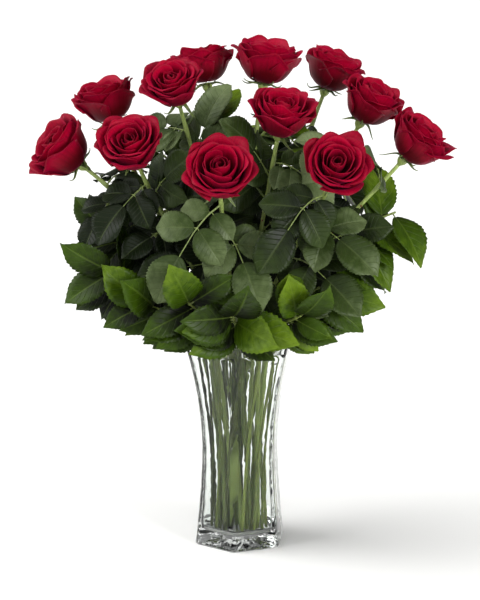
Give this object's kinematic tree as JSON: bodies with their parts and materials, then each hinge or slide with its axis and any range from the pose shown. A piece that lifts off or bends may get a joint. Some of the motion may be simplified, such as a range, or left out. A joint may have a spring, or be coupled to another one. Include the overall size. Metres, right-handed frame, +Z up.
{
  "type": "roses in a vase",
  "caption": "Long-stemmed red roses with salal greenery, spread in a dome above a waisted, flared six-sided clear glass vase of water.",
  "frame": {"origin": "centre of the vase's flat underside", "axes": "+Z up, -Y towards the side that the picture shows, +X to that side's right"},
  "size_m": [0.5026, 0.3309, 0.6098],
  "materials": {
    "vase_glass": "clear, polished, pressed",
    "water": "clear liquid",
    "rose_petal": "deep crimson, velvety matt",
    "rose_green": "grey-green, satin matt leaf",
    "salal_green": "fresh green, waxy leaf"
  },
  "bodies": {
    "root": {"vase": "vase_glass", "water": "water", "rose_stem_01": "rose_green", "rose_bloom_01": "rose_petal", "rose_stem_02": "rose_green", "rose_bloom_02": "rose_petal", "rose_stem_03": "rose_green", "rose_bloom_03": "rose_petal", "rose_stem_04": "rose_green", "rose_bloom_04": "rose_petal", "rose_stem_05": "rose_green", "rose_bloom_05": "rose_petal", "rose_stem_06": "rose_green", "rose_bloom_06": "rose_petal", "rose_stem_07": "rose_green", "rose_bloom_07": "rose_petal", "rose_stem_08": "rose_green", "rose_bloom_08": "rose_petal", "rose_stem_09": "rose_green", "rose_bloom_09": "rose_petal", "rose_stem_10": "rose_green", "rose_bloom_10": "rose_petal", "rose_stem_11": "rose_green", "rose_bloom_11": "rose_petal", "rose_stem_12": "rose_green", "rose_bloom_12": "rose_petal", "salal_spray_01": "salal_green", "salal_spray_02": "salal_green", "salal_spray_03": "salal_green", "salal_spray_04": "salal_green", "salal_spray_05": "salal_green", "salal_spray_06": "salal_green", "salal_spray_07": "salal_green", "salal_spray_08": "salal_green", "salal_spray_09": "salal_green", "salal_spray_10": "salal_green", "salal_spray_11": "salal_green", "salal_spray_12": "salal_green", "salal_spray_13": "salal_green", "salal_spray_14": "salal_green"}
  },
  "joints": []
}
